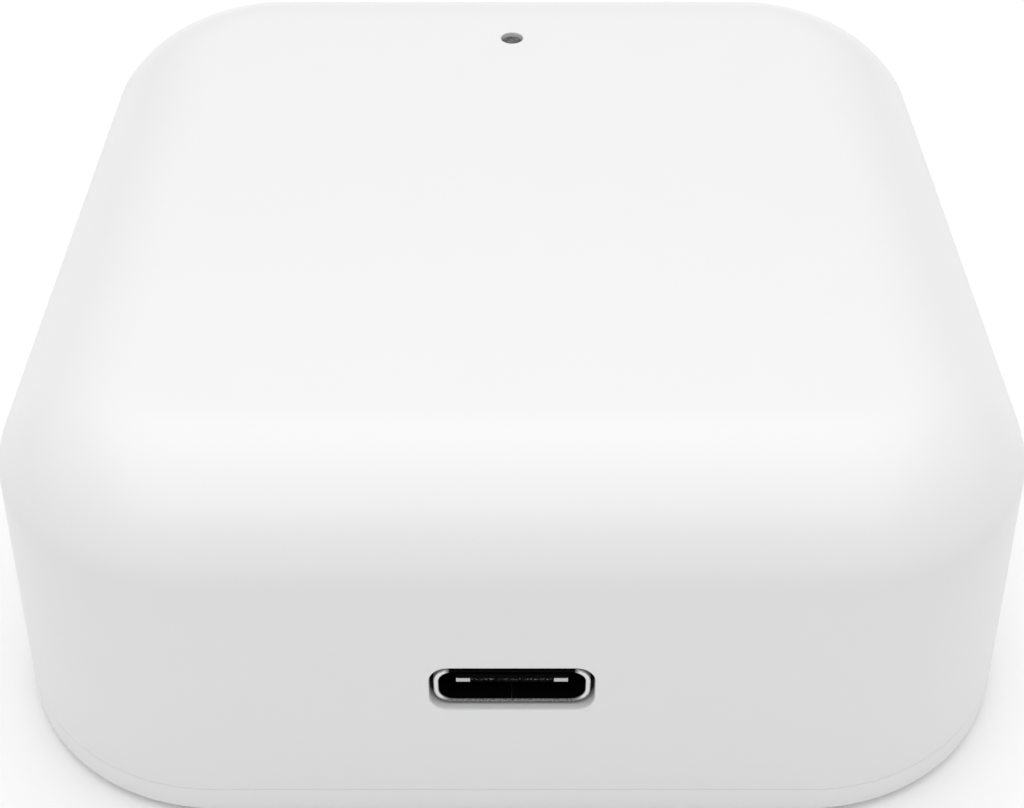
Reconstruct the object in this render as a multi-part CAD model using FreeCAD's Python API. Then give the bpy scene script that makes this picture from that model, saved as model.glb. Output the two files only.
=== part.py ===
import FreeCAD, Part
import math
import os

# Table-top wireless gateway: a soft-edged square case that stands on four rubber feet, with a
# USB-C socket in its front wall and an indicator hole near the back of its roof.
# Millimetres, Z up, X to the right and Y to the rear. The origin is on the table, under the
# middle of the case.

# Case, without its feet
case_width = 64.2
case_depth = 64.2
case_height = 24.0
corner_radius = 14.2
draft_degrees = 6.0
soft_edge_run = 7.8
soft_edge_drop = 5.4
soft_edge_split = 54.0
wall = 2.0
roof = 2.0
seam_height = 2.05
seam_bevel = 0.1
base_edge_radius = 0.4

# Bottom cover
floor_thickness = 1.8
lip_height = 2.0
lip_thickness = 1.0
lip_clearance = 0.15
floor_rib_height = 1.2
rib_thickness = 1.0

# Rubber feet, one over each cover screw
foot_proud = 0.5
foot_radius = 4.0
foot_pocket_depth = 1.0
foot_clearance = 0.15
foot_edge_bevel = 0.25

# Screws that hold the cover, driven up into the housing
cover_screw_inset = 10.0
cover_screw_radius = 1.1
cover_screw_length = 8.0
cover_screw_head_radius = 2.1
cover_screw_head_height = 1.5
cover_screw_head_gap = 0.3
cover_screw_seat = 1.2
cover_post_radius = 3.4

# Screws that hold the circuit board, driven up into the housing
board_screw_radius = 0.9
board_screw_length = 6.0
board_screw_head_radius = 1.8
board_screw_head_height = 1.3
board_screw_spacing = 8.0

# What every screw has in common
boss_wall = 1.5
thread_clearance = 0.05
shank_clearance = 0.2
pilot_spare = 1.0
recess_width = 0.5
recess_reach = 0.65

# Circuit board
board_thickness = 1.6
board_clearance = 0.4
board_rear_margin = 3.6
board_notch_clearance = 0.6
board_notch_radius = 1.5

# USB-C socket
port_height = 10.94
port_recess = 0.23
port_side_clearance = 0.24
port_top_clearance = 0.13
port_corner_radius = 1.1
port_lead_in = 0.08
socket_width = 8.94
socket_height = 3.16
socket_length = 7.35
socket_corner_radius = 1.2
socket_sheet = 0.3
socket_joint_gap = 0.06
socket_leg_width = 1.1
socket_leg_reach = 2.0
socket_leg_inset = 0.9
leg_slot_clearance = 0.15
tongue_width = 6.7
tongue_thickness = 0.7
tongue_recess = 0.59
tongue_root_thickness = 1.5
tongue_root_length = 1.2
insulator_length = 2.4
insulator_clearance = 0.02
middle_plate_thickness = 0.15
middle_plate_recess = 0.5

# Contacts of the socket, eight narrow and two wide ones in each row
contact_thickness = 0.1
contact_width = 0.26
contact_pitch = 0.5
narrow_contacts = 8
wide_contact_width = 0.8
wide_contact_place = 2.8
wide_tip_height = 0.33
upper_contact_inset = 0.3
contact_foot = 0.5
lower_tail_gap = 0.2
upper_tail_gap = 1.1

# Indicator: a light-emitting diode under a clear light pipe
indicator_from_rear = 13.4
indicator_hole_radius = 0.82
indicator_recess = 0.33
pipe_tip_clearance = 0.08
pipe_radius = 1.6
pipe_clearance = 0.05
pipe_sleeve_length = 5.0
pipe_sleeve_wall = 1.1
pipe_air_gap = 0.4
led_length = 2.0
led_width = 1.25
led_height = 0.8

# Wireless modules, each a small board with a shield can
module_board_thickness = 0.8
module_gap = 1.6
can_height = 1.8
can_sheet = 0.2
can_margin = 0.7
can_corner_radius = 0.8
antenna_length = 5.0
wifi_width = 13.2
wifi_length = 16.6
wifi_chip_size = 5.0
bluetooth_width = 10.0
bluetooth_length = 14.0
bluetooth_chip_size = 4.0
chip_height = 0.85
chip_bevel = 0.12

# Power supply parts, in a row behind the socket
power_row_gap = 5.0
capacitor_radius = 2.5
capacitor_height = 5.0
capacitor_base_height = 0.9
capacitor_crimp_depth = 0.25
capacitor_crimp_height = 1.5
capacitor_crimp_width = 0.8
capacitor_place = 7.0
inductor_size = 4.0
inductor_height = 2.0
inductor_bevel = 0.8
regulator_length = 2.9
regulator_width = 1.6
regulator_height = 1.1
regulator_place = 5.2
regulator_leg_width = 0.4
regulator_leg_reach = 0.6
regulator_leg_pitch = 0.95
diode_length = 2.6
diode_width = 1.6
diode_height = 1.0
diode_place = 9.4

# Small chip parts
chip_part_length = 1.6
chip_part_width = 0.8
ceramic_height = 0.8
resistor_height = 0.45
chip_part_pitch = 1.9
ceramic_count = 4
resistor_count = 5

# Derived levels
slope = math.tan(math.radians(draft_degrees))
base_z = foot_proud
top_z = base_z + case_height
seam_z = base_z + seam_height
floor_z = base_z + floor_thickness
roof_z = top_z - roof
lip_top_z = seam_z + lip_height
port_z = base_z + port_height
board_top_z = port_z - socket_height / 2
board_bottom_z = board_top_z - board_thickness
foot_seat_z = base_z + foot_pocket_depth
cover_head_z = foot_seat_z + cover_screw_head_gap
cover_seat_z = cover_head_z + cover_screw_head_height
post_top_z = cover_seat_z + cover_screw_seat

# Derived places
corner_x = case_width / 2 - corner_radius
corner_y = case_depth / 2 - corner_radius
cover_screw_x = case_width / 2 - cover_screw_inset
cover_screw_y = case_depth / 2 - cover_screw_inset
cover_boss_radius = cover_screw_radius + boss_wall
board_screw_x = cover_screw_x
board_screw_y = cover_screw_y - board_screw_spacing
board_boss_radius = board_screw_radius + boss_wall
indicator_y = case_depth / 2 - indicator_from_rear


def wall_run(inset, z):
    """Distance from a corner centre to the wall face that lies inset inside the outer face."""
    return corner_radius - inset - (z - base_z) * slope


board_half_x = corner_x + wall_run(wall, board_top_z) - board_clearance
board_front_y = -(corner_y + wall_run(wall, board_top_z) - board_clearance)
board_rear_y = indicator_y + board_rear_margin
socket_front_y = port_recess - (corner_y + wall_run(0.0, port_z))
socket_rear_y = socket_front_y + socket_length
power_row_y = socket_rear_y + power_row_gap
module_rear_y = indicator_y - pipe_radius - module_gap
led_top_z = board_top_z + led_height


def turn_round_corners(profile):
    """Sweep a half profile, drawn from the axis outwards, round the four corner centres."""
    pieces = []
    for step in range(4):
        angle = 90.0 * step
        sign_x = 1 if step in (0, 3) else -1
        sign_y = 1 if step in (0, 1) else -1
        corner = profile.revolve(FreeCAD.Vector(), FreeCAD.Vector(0, 0, 1), 90.0)
        corner.rotate(FreeCAD.Vector(), FreeCAD.Vector(0, 0, 1), angle)
        corner.translate(FreeCAD.Vector(sign_x * corner_x, sign_y * corner_y, 0))
        reach, span = (corner_x, corner_y) if step % 2 == 0 else (corner_y, corner_x)
        side = profile.extrude(FreeCAD.Vector(0, 2 * span, 0))
        side.translate(FreeCAD.Vector(reach, -span, 0))
        side.rotate(FreeCAD.Vector(), FreeCAD.Vector(0, 0, 1), angle)
        pieces += [corner, side]
    low = profile.BoundBox.ZMin
    high = profile.BoundBox.ZMax
    pieces.append(block(0, 0, low, 2 * corner_x, 2 * corner_y, high - low))
    return pieces[0].multiFuse(pieces[1:]).removeSplitter()


def half_profile(edges):
    """Close a chain of edges, from the axis at the bottom to the axis at the top, into a face."""
    first = edges[0].Vertexes[0].Point
    last = edges[-1].Vertexes[-1].Point
    return Part.Face(Part.Wire(edges + [Part.makeLine(last, first)]))


def drafted_block(inset, low, high):
    """Rounded square block with leaning walls, inset from the outer skin."""
    points = [
        FreeCAD.Vector(0, 0, low),
        FreeCAD.Vector(wall_run(inset, low), 0, low),
        FreeCAD.Vector(wall_run(inset, high), 0, high),
        FreeCAD.Vector(0, 0, high),
    ]
    edges = [Part.makeLine(start, end) for start, end in zip(points, points[1:])]
    return turn_round_corners(half_profile(edges))


def arc_step(radius, turn_from, turn_to):
    """Displacement along an arc whose heading turns between two angles."""
    run = radius * (math.sin(turn_to) - math.sin(turn_from))
    rise = radius * (math.cos(turn_from) - math.cos(turn_to))
    return FreeCAD.Vector(run, 0, rise)


def soft_edge(start, end):
    """Two arcs, tangent to the leaning wall, to each other and to the level roof. The lower, tighter
    arc gives way to the upper one where the surface tilts by soft_edge_split."""
    lean = math.pi / 2 + math.radians(draft_degrees)
    split = math.pi - math.radians(soft_edge_split)
    lower = arc_step(1.0, lean, split)
    upper = arc_step(1.0, split, math.pi)
    span = end - start
    scale = lower.x * upper.z - upper.x * lower.z
    lower_radius = (span.x * upper.z - upper.x * span.z) / scale
    upper_radius = (lower.x * span.z - span.x * lower.z) / scale
    joint = start + lower * lower_radius
    lower_middle = start + arc_step(lower_radius, lean, (lean + split) / 2)
    upper_middle = joint + arc_step(upper_radius, split, (split + math.pi) / 2)
    return [Part.Arc(start, lower_middle, joint).toShape(), Part.Arc(joint, upper_middle, end).toShape()]


def soft_block(inset, low, high, run, drop):
    """Drafted block with a broad soft edge round its roof."""
    foot = FreeCAD.Vector(wall_run(inset, low), 0, low)
    start = FreeCAD.Vector(wall_run(inset, high - drop), 0, high - drop)
    end = FreeCAD.Vector(wall_run(inset, high) - run, 0, high)
    edges = [Part.makeLine(FreeCAD.Vector(0, 0, low), foot), Part.makeLine(foot, start)]
    edges += soft_edge(start, end)
    edges.append(Part.makeLine(end, FreeCAD.Vector(0, 0, high)))
    return turn_round_corners(half_profile(edges))


def block(x, y, low, length_x, length_y, height):
    """Box centred on (x, y) that stands on the level low."""
    corner = FreeCAD.Vector(x - length_x / 2, y - length_y / 2, low)
    return Part.makeBox(length_x, length_y, height, corner)


def rounded_block(x, y, low, length_x, length_y, height, radius):
    """Box centred on (x, y) with its four upright edges rounded."""
    solid = block(x, y, low, length_x, length_y, height)
    upright = [e for e in solid.Edges if abs(e.tangentAt(e.FirstParameter).z) > 0.99]
    return solid.makeFillet(radius, upright)


def disc(x, y, low, high, radius):
    """Upright cylinder between two levels."""
    return Part.makeCylinder(radius, high - low, FreeCAD.Vector(x, y, low))


def rounded_bar(width, height, corner, front, rear):
    """Bar along Y through the centre of the socket, its section a rounded rectangle."""
    bar = block(0, (front + rear) / 2, port_z - height / 2, width, rear - front, height)
    along = [e for e in bar.Edges if abs(e.tangentAt(e.FirstParameter).y) > 0.99]
    return bar.makeFillet(corner, along)


def four_places(x, y):
    """The four places (+-x, +-y)."""
    return [(sign_x * x, sign_y * y) for sign_y in (-1, 1) for sign_x in (-1, 1)]


def rim_edges(solid, level):
    """Outer edges of the widest flat face of the solid at a level."""
    flat = [f for f in solid.Faces if f.BoundBox.ZLength < 1e-6 and abs(f.BoundBox.ZMin - level) < 1e-6]
    widest = max(flat, key=lambda face: face.BoundBox.DiagonalLength)
    return widest.OuterWire.Edges


def beside_wall(solid, outer):
    """Keep only the part of a boss or rib that lies inside the outer skin."""
    return solid.common(outer)


def screw_boss(x, y, low, radius):
    """Round boss that hangs from the roof, with a rib out to the nearest side wall."""
    boss = disc(x, y, low, roof_z + roof / 2, radius)
    side = 1 if x > 0 else -1
    reach = case_width / 2 - abs(x)
    rib = block(x + side * reach / 2, y, low + rib_thickness, reach, rib_thickness, roof_z - low)
    return boss.fuse(rib)


def upper_housing():
    """Moulded shell: drafted walls, soft roof edge, port slot, indicator hole, bosses and ribs."""
    outer = soft_block(0.0, base_z, top_z, soft_edge_run, soft_edge_drop)
    inner = soft_block(wall, base_z, roof_z, soft_edge_run - wall, soft_edge_drop - roof)
    below_seam = block(0, 0, base_z, 2 * case_width, 2 * case_depth, seam_height)
    shell = outer.cut(inner).cut(below_seam)
    shell = shell.makeChamfer(seam_bevel, rim_edges(shell, seam_z))
    added = []
    for x, y in four_places(cover_screw_x, cover_screw_y):
        added.append(screw_boss(x, y, post_top_z, cover_boss_radius))
    for x, y in four_places(board_screw_x, board_screw_y):
        added.append(screw_boss(x, y, board_top_z, board_boss_radius))
    sleeve_radius = pipe_radius + pipe_clearance + pipe_sleeve_wall
    added.append(disc(0, indicator_y, roof_z - pipe_sleeve_length, roof_z + roof / 2, sleeve_radius))
    inside_skin = outer.cut(below_seam)
    shell = shell.multiFuse([beside_wall(solid, inside_skin) for solid in added])
    holes = [port_slot(), indicator_bore()]
    for x, y in four_places(cover_screw_x, cover_screw_y):
        holes.append(pilot_hole(x, y, post_top_z, cover_screw_radius, cover_thread_length()))
    for x, y in four_places(board_screw_x, board_screw_y):
        holes.append(pilot_hole(x, y, board_top_z, board_screw_radius, board_thread_length()))
    return shell.cut(Part.makeCompound(holes)).removeSplitter()


def cover_thread_length():
    """How far a cover screw reaches above the post it passes through."""
    return cover_screw_length - cover_screw_seat


def board_thread_length():
    """How far a board screw reaches above the board."""
    return board_screw_length - board_thickness


def pilot_hole(x, y, low, screw_radius, depth):
    """Blind hole that a self-tapping screw cuts its thread in."""
    return disc(x, y, low, low + depth + pilot_spare, screw_radius + thread_clearance)


def port_slot():
    """Slot in the front wall round the socket, with a small lead-in at the outer face."""
    width = socket_width + 2 * port_side_clearance
    height = socket_height + 2 * port_top_clearance
    outside_y = -case_depth / 2 - wall
    inside_y = board_front_y + wall
    slot = rounded_bar(width, height, port_corner_radius, outside_y, inside_y)
    face_y = socket_front_y - port_recess
    mouth = rounded_bar(width + 2 * port_lead_in, height + 2 * port_lead_in, port_corner_radius + port_lead_in,
                        outside_y, face_y + port_lead_in)
    return slot.fuse(mouth)


def indicator_bore():
    """Small hole through the roof, and the wider bore below it that holds the light pipe."""
    hole = disc(0, indicator_y, roof_z - roof, top_z + roof, indicator_hole_radius)
    bore = disc(0, indicator_y, roof_z - pipe_sleeve_length - roof, roof_z, pipe_radius + pipe_clearance)
    return hole.fuse(bore)


def bottom_cover():
    """Base plate with the rim under the seam, a locating lip, screw posts and foot pockets."""
    pocket_inset = wall + lip_clearance + lip_thickness
    plate = drafted_block(0.0, base_z, seam_z)
    plate = plate.makeChamfer(seam_bevel, rim_edges(plate, seam_z))
    plate = plate.makeFillet(base_edge_radius, rim_edges(plate, base_z))
    lip = drafted_block(wall + lip_clearance, floor_z, lip_top_z)
    plate = plate.fuse(lip).cut(drafted_block(pocket_inset, floor_z, lip_top_z + lip_height))
    post_radius = cover_post_radius
    added = []
    for x, y in four_places(cover_screw_x, cover_screw_y):
        added.append(disc(x, y, floor_z - floor_thickness / 2, post_top_z, post_radius))
    for side in (-1, 1):
        x = side * cover_screw_x
        y = side * cover_screw_y
        added.append(block(x, 0, floor_z, rib_thickness, 2 * cover_screw_y, floor_rib_height))
        added.append(block(0, y, floor_z, 2 * cover_screw_x, rib_thickness, floor_rib_height))
    plate = plate.multiFuse(added)
    holes = []
    for x, y in four_places(cover_screw_x, cover_screw_y):
        pocket_radius = foot_radius + foot_clearance
        holes.append(disc(x, y, base_z - foot_pocket_depth, foot_seat_z, pocket_radius))
        head_radius = cover_screw_head_radius + shank_clearance
        holes.append(disc(x, y, base_z, cover_seat_z, head_radius))
        holes.append(disc(x, y, base_z, post_top_z + lip_height, cover_screw_radius + shank_clearance))
    return plate.cut(Part.makeCompound(holes)).removeSplitter()


def rubber_feet():
    """Round feet, seated in the pockets over the screw heads and bevelled where they touch down."""
    feet = []
    for x, y in four_places(cover_screw_x, cover_screw_y):
        foot = disc(x, y, 0.0, foot_seat_z, foot_radius)
        lower_rim = [e for e in foot.Edges if e.BoundBox.ZMax < 1e-6]
        feet.append(foot.makeChamfer(foot_edge_bevel, lower_rim))
    return Part.makeCompound(feet)


def pan_screw(x, y, seat, radius, length, head_radius, head_height):
    """Pan-head screw that points up, its head under the seat, with a cross recess."""
    crown = head_radius * 0.7
    waist = seat - head_height * 0.45
    low = seat - head_height
    point = seat + length
    crown_end = FreeCAD.Vector(crown, 0, low)
    crown_start = FreeCAD.Vector(head_radius, 0, waist)
    swell = (head_radius - crown) * (1 - math.sqrt(0.5))
    bulge = FreeCAD.Vector(head_radius - swell, 0, low + (waist - low) * (1 - math.sqrt(0.5)))
    corners = [
        crown_start,
        FreeCAD.Vector(head_radius, 0, seat),
        FreeCAD.Vector(radius, 0, seat),
        FreeCAD.Vector(radius, 0, point - radius),
        FreeCAD.Vector(radius / 3, 0, point),
        FreeCAD.Vector(0, 0, point),
    ]
    edges = [Part.makeLine(FreeCAD.Vector(0, 0, low), crown_end)]
    edges.append(Part.Arc(crown_end, bulge, crown_start).toShape())
    edges += [Part.makeLine(start, end) for start, end in zip(corners, corners[1:])]
    solid = half_profile(edges).revolve(FreeCAD.Vector(), FreeCAD.Vector(0, 0, 1), 360.0)
    reach = 2 * head_radius * recess_reach
    depth = head_height * 0.55
    cross = block(0, 0, low, reach, recess_width, depth).fuse(block(0, 0, low, recess_width, reach, depth))
    solid = solid.cut(cross)
    solid.translate(FreeCAD.Vector(x, y, 0))
    return solid


def cover_screws():
    """Four screws under the feet, through the cover's posts into the housing's corner bosses."""
    return Part.makeCompound([
        pan_screw(x, y, cover_seat_z, cover_screw_radius, cover_screw_length,
                  cover_screw_head_radius, cover_screw_head_height)
        for x, y in four_places(cover_screw_x, cover_screw_y)
    ])


def board_screws():
    """Four screws through the circuit board into the housing's side bosses."""
    return Part.makeCompound([
        pan_screw(x, y, board_bottom_z, board_screw_radius, board_screw_length,
                  board_screw_head_radius, board_screw_head_height)
        for x, y in four_places(board_screw_x, board_screw_y)
    ])


def socket_leg_places():
    """Centres of the socket's four legs: side, and place along the shell."""
    front = socket_front_y + socket_length / 2 - socket_leg_inset
    rear = socket_rear_y - socket_leg_inset
    x = (socket_width - socket_sheet) / 2
    return [(side * x, y) for side in (-1, 1) for y in (front, rear)]


def main_board():
    """Circuit board, notched round the corner bosses and slotted for the socket's legs."""
    depth = board_rear_y - board_front_y
    centre_y = (board_rear_y + board_front_y) / 2
    plate = block(0, centre_y, board_bottom_z, 2 * board_half_x, depth, board_thickness)
    notch_reach = cover_boss_radius + board_notch_clearance
    holes = []
    for x, y in four_places(cover_screw_x, cover_screw_y):
        side_x = 1 if x > 0 else -1
        side_y = 1 if y > 0 else -1
        centre_x = x + side_x * (corner_radius - notch_reach)
        notch_y = y + side_y * (corner_radius - notch_reach)
        holes.append(rounded_block(centre_x, notch_y, board_bottom_z, 2 * corner_radius,
                                   2 * corner_radius, board_thickness, board_notch_radius))
    for x, y in four_places(board_screw_x, board_screw_y):
        hole_radius = board_screw_radius + shank_clearance
        holes.append(disc(x, y, board_bottom_z, board_top_z, hole_radius))
    for x, y in socket_leg_places():
        holes.append(block(x, y, board_bottom_z, socket_sheet + 2 * leg_slot_clearance,
                           socket_leg_width + 2 * leg_slot_clearance, board_thickness))
    return plate.cut(Part.makeCompound(holes))


def socket_shell():
    """Folded steel shell of the socket: a flat round-cornered tube with a butt joint and four legs."""
    outside = rounded_bar(socket_width, socket_height, socket_corner_radius, socket_front_y, socket_rear_y)
    inner_width = socket_width - 2 * socket_sheet
    inner_height = socket_height - 2 * socket_sheet
    inner_radius = socket_corner_radius - socket_sheet
    inside = rounded_bar(inner_width, inner_height, inner_radius, socket_front_y, socket_rear_y)
    legs = []
    for x, y in socket_leg_places():
        leg_low = board_top_z - socket_leg_reach
        legs.append(block(x, y, leg_low, socket_sheet, socket_leg_width, port_z - leg_low))
    centre_y = (socket_front_y + socket_rear_y) / 2
    joint = block(0, centre_y, board_top_z, socket_joint_gap, socket_length, socket_height / 2)
    return outside.multiFuse(legs).cut(inside).cut(joint)


def contact_strips(level, front, tail_gap, wide_tip):
    """One row of flat contacts: along the tongue, out of the back and down to the board. The wide
    ones' front ends are turned up, and wide_tip is their height."""
    back = socket_rear_y + tail_gap
    low = board_top_z
    under = level - contact_thickness
    points = [
        (front, under), (back, under), (back, low), (back + contact_foot, low),
        (back + contact_foot, low + contact_thickness), (back + contact_thickness, low + contact_thickness),
        (back + contact_thickness, level), (front, level), (front, under),
    ]
    outline = Part.makePolygon([FreeCAD.Vector(0, y, z) for y, z in points])
    profile = Part.Face(outline)
    middle = (narrow_contacts - 1) / 2
    tip_y = front + contact_thickness / 2
    narrow = [(index - middle) * contact_pitch for index in range(narrow_contacts)]
    strips = [strip_at(profile, x, contact_width) for x in narrow]
    for x in (-wide_contact_place, wide_contact_place):
        tip = block(x, tip_y, under, wide_contact_width, contact_thickness, wide_tip)
        strips += strip_at(profile, x, wide_contact_width).fuse(tip).removeSplitter().Solids
    return Part.makeCompound(strips)


def strip_at(profile, x, width):
    """Contact of one width, cut from the side view and centred on x."""
    strip = profile.extrude(FreeCAD.Vector(width, 0, 0))
    strip.translate(FreeCAD.Vector(x - width / 2, 0, 0))
    return strip


def socket_upper_contacts():
    """Contacts laid in the upper face of the tongue, set back from its front edge."""
    level = port_z + tongue_thickness / 2
    front = socket_front_y + tongue_recess + upper_contact_inset
    return contact_strips(level, front, upper_tail_gap, contact_thickness)


def socket_lower_contacts():
    """Contacts laid in the lower face of the tongue, the wide ones turned up at its front edge."""
    level = port_z - tongue_thickness / 2 + contact_thickness
    front = socket_front_y + tongue_recess
    return contact_strips(level, front, lower_tail_gap, wide_tip_height)


def socket_middle_plate():
    """Steel plate inside the tongue, which a plug's latches grip at both sides."""
    front = socket_front_y + tongue_recess + middle_plate_recess
    length = socket_rear_y - insulator_length / 2 - front
    low = port_z - middle_plate_thickness / 2
    return block(0, front + length / 2, low, tongue_width, length, middle_plate_thickness)


def socket_insulator():
    """Black moulding that closes the back of the shell and carries the tongue."""
    front = socket_front_y + tongue_recess
    body_front = socket_rear_y - insulator_length
    root_front = body_front - tongue_root_length
    width = socket_width - 2 * socket_sheet - 2 * insulator_clearance
    height = socket_height - 2 * socket_sheet - 2 * insulator_clearance
    corner = socket_corner_radius - socket_sheet - insulator_clearance
    body = rounded_bar(width, height, corner, body_front, socket_rear_y)
    tongue = block(0, (front + body_front) / 2, port_z - tongue_thickness / 2, tongue_width,
                   body_front - front, tongue_thickness)
    front_upright = [e for e in tongue.Edges if e.BoundBox.ZLength > tongue_thickness / 2
                     and e.BoundBox.YMax < front + 1e-6]
    tongue = tongue.makeFillet(tongue_thickness / 2, front_upright)
    root = block(0, (root_front + body_front) / 2, port_z - tongue_root_thickness / 2, tongue_width,
                 tongue_root_length, tongue_root_thickness)
    solid = body.multiFuse([tongue, root])
    inserts = [socket_middle_plate(), socket_upper_contacts(), socket_lower_contacts()]
    return solid.cut(Part.makeCompound(inserts))


def light_pipe():
    """Clear rod from just above the diode up to its shoulder, with a thin tip in the roof hole."""
    body = disc(0, indicator_y, led_top_z + pipe_air_gap, roof_z, pipe_radius)
    tip_radius = indicator_hole_radius - pipe_tip_clearance
    return body.fuse(disc(0, indicator_y, roof_z, top_z - indicator_recess, tip_radius))


def status_led():
    """Light-emitting diode on the board, with a rounded lens on a flat base."""
    base_height = led_height / 2
    base = block(0, indicator_y, board_top_z, led_length, led_width, base_height)
    lens = block(0, indicator_y, board_top_z + base_height, led_length * 0.7, led_width, led_height - base_height)
    ends = [e for e in lens.Edges if e.BoundBox.XLength < 1e-6 and e.BoundBox.ZMin > led_top_z - 1e-6]
    return base.fuse(lens.makeChamfer(base_height / 2, ends))


def module_place(side, width, length):
    """Centre of a wireless module, beside the middle of the board and short of the light pipe."""
    return side * (width + module_gap) / 2, module_rear_y - length / 2


def module_board(side, width, length):
    """Small board of a wireless module, with half-round solder notches down both long sides."""
    x, y = module_place(side, width, length)
    plate = block(x, y, board_top_z, width, length, module_board_thickness)
    notch_radius = module_board_thickness / 2
    pitch = 4 * notch_radius
    count = int((length - antenna_length) / pitch)
    notches = []
    for index in range(count):
        notch_y = y - length / 2 + pitch * (index + 0.75)
        for edge in (-1, 1):
            notches.append(disc(x + edge * width / 2, notch_y, board_top_z,
                                board_top_z + module_board_thickness, notch_radius))
    return plate.cut(Part.makeCompound(notches))


def shield_can(side, width, length):
    """Drawn tin can over the front of a wireless module, open underneath."""
    x, y = module_place(side, width, length)
    low = board_top_z + module_board_thickness
    can_width = width - 2 * can_margin
    can_length = length - antenna_length - can_margin
    can_y = y - length / 2 + can_margin + can_length / 2
    outside = rounded_block(x, can_y, low, can_width, can_length, can_height, can_corner_radius)
    top_rim = rim_edges(outside, low + can_height)
    outside = outside.makeFillet(can_sheet * 1.5, top_rim)
    inside = rounded_block(x, can_y, low, can_width - 2 * can_sheet, can_length - 2 * can_sheet,
                           can_height - can_sheet, can_corner_radius - can_sheet)
    return outside.cut(inside)


def module_chip(side, width, length, size):
    """Radio chip under the shield can."""
    x, y = module_place(side, width, length)
    chip_y = y - antenna_length / 2
    low = board_top_z + module_board_thickness
    chip = block(x, chip_y, low, size, size, chip_height)
    return chip.makeChamfer(chip_bevel, rim_edges(chip, low + chip_height))


def capacitor_can():
    """Aluminium can of the supply capacitor, crimped above its base."""
    x = capacitor_place
    low = board_top_z + capacitor_base_height
    high = board_top_z + capacitor_height
    can = disc(x, power_row_y, low, high, capacitor_radius)
    can = can.makeFillet(capacitor_crimp_depth, rim_edges(can, high))
    crimp_low = low + capacitor_crimp_height - capacitor_crimp_width
    groove = disc(x, power_row_y, crimp_low, crimp_low + capacitor_crimp_width, capacitor_radius)
    waist = disc(x, power_row_y, crimp_low, crimp_low + capacitor_crimp_width,
                 capacitor_radius - capacitor_crimp_depth)
    return can.cut(groove.cut(waist))


def capacitor_base():
    """Square moulded base of the supply capacitor, with two cut corners."""
    size = 2 * capacitor_radius
    base = block(capacitor_place, power_row_y, board_top_z, size, size, capacitor_base_height)
    marked = [e for e in base.Edges if e.BoundBox.ZLength > capacitor_base_height / 2
              and e.BoundBox.YMin > power_row_y]
    return base.makeChamfer(capacitor_radius / 4, marked)


def power_inductor():
    """Moulded power inductor with cut corners."""
    body = block(0, power_row_y, board_top_z, inductor_size, inductor_size, inductor_height)
    upright = [e for e in body.Edges if e.BoundBox.ZLength > inductor_height / 2]
    return body.makeChamfer(inductor_bevel, upright)


def voltage_regulator():
    """Regulator chip with three bent legs down each long side."""
    x = -regulator_place
    low = board_top_z + regulator_leg_reach / 4
    body = block(x, power_row_y, low, regulator_width, regulator_length, regulator_height)
    body = body.makeChamfer(chip_bevel, rim_edges(body, low + regulator_height))
    legs = []
    for side in (-1, 1):
        for step in (-1, 0, 1):
            y = power_row_y + step * regulator_leg_pitch
            leg_x = x + side * (regulator_width + regulator_leg_reach) / 2
            foot = block(leg_x, y, board_top_z, regulator_leg_reach, regulator_leg_width,
                         regulator_leg_reach / 4)
            rise_x = x + side * (regulator_width / 2 + regulator_leg_reach / 8)
            rise = block(rise_x, y, board_top_z, regulator_leg_reach / 4, regulator_leg_width,
                         regulator_height / 2)
            legs += [foot, rise]
    return body.multiFuse(legs)


def surge_diode():
    """Flat diode that guards the supply input."""
    body = block(-diode_place, power_row_y, board_top_z, diode_width, diode_length, diode_height)
    return body.makeChamfer(chip_bevel, rim_edges(body, board_top_z + diode_height))


def chip_parts(x, y, count, height):
    """Row of small chip parts along X, each on its own pads."""
    start = x - (count - 1) / 2 * chip_part_pitch
    return Part.makeCompound([
        block(start + index * chip_part_pitch, y, board_top_z, chip_part_width, chip_part_length, height)
        for index in range(count)
    ])


def ceramic_capacitors():
    """Row of ceramic capacitors in front of the wireless modules."""
    y = module_rear_y - wifi_length - module_gap
    return chip_parts(-wifi_width / 2, y, ceramic_count, ceramic_height)


def chip_resistors():
    """Row of chip resistors in front of the shorter wireless module."""
    y = module_rear_y - bluetooth_length - module_gap
    return chip_parts(bluetooth_width / 2 + module_gap, y, resistor_count, resistor_height)


def gateway_pieces():
    """Every piece of the gateway under its node's name."""
    wifi = (-1, wifi_width, wifi_length)
    bluetooth = (1, bluetooth_width, bluetooth_length)
    return {
        "upper_housing": upper_housing(),
        "bottom_cover": bottom_cover(),
        "rubber_feet": rubber_feet(),
        "cover_screws": cover_screws(),
        "main_board": main_board(),
        "board_screws": board_screws(),
        "socket_shell": socket_shell(),
        "socket_insulator": socket_insulator(),
        "socket_middle_plate": socket_middle_plate(),
        "socket_upper_contacts": socket_upper_contacts(),
        "socket_lower_contacts": socket_lower_contacts(),
        "light_pipe": light_pipe(),
        "status_led": status_led(),
        "wifi_module_board": module_board(*wifi),
        "wifi_shield_can": shield_can(*wifi),
        "wifi_chip": module_chip(*wifi, wifi_chip_size),
        "bluetooth_module_board": module_board(*bluetooth),
        "bluetooth_shield_can": shield_can(*bluetooth),
        "bluetooth_chip": module_chip(*bluetooth, bluetooth_chip_size),
        "capacitor_can": capacitor_can(),
        "capacitor_base": capacitor_base(),
        "power_inductor": power_inductor(),
        "voltage_regulator": voltage_regulator(),
        "surge_diode": surge_diode(),
        "ceramic_capacitors": ceramic_capacitors(),
        "chip_resistors": chip_resistors(),
    }


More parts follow.
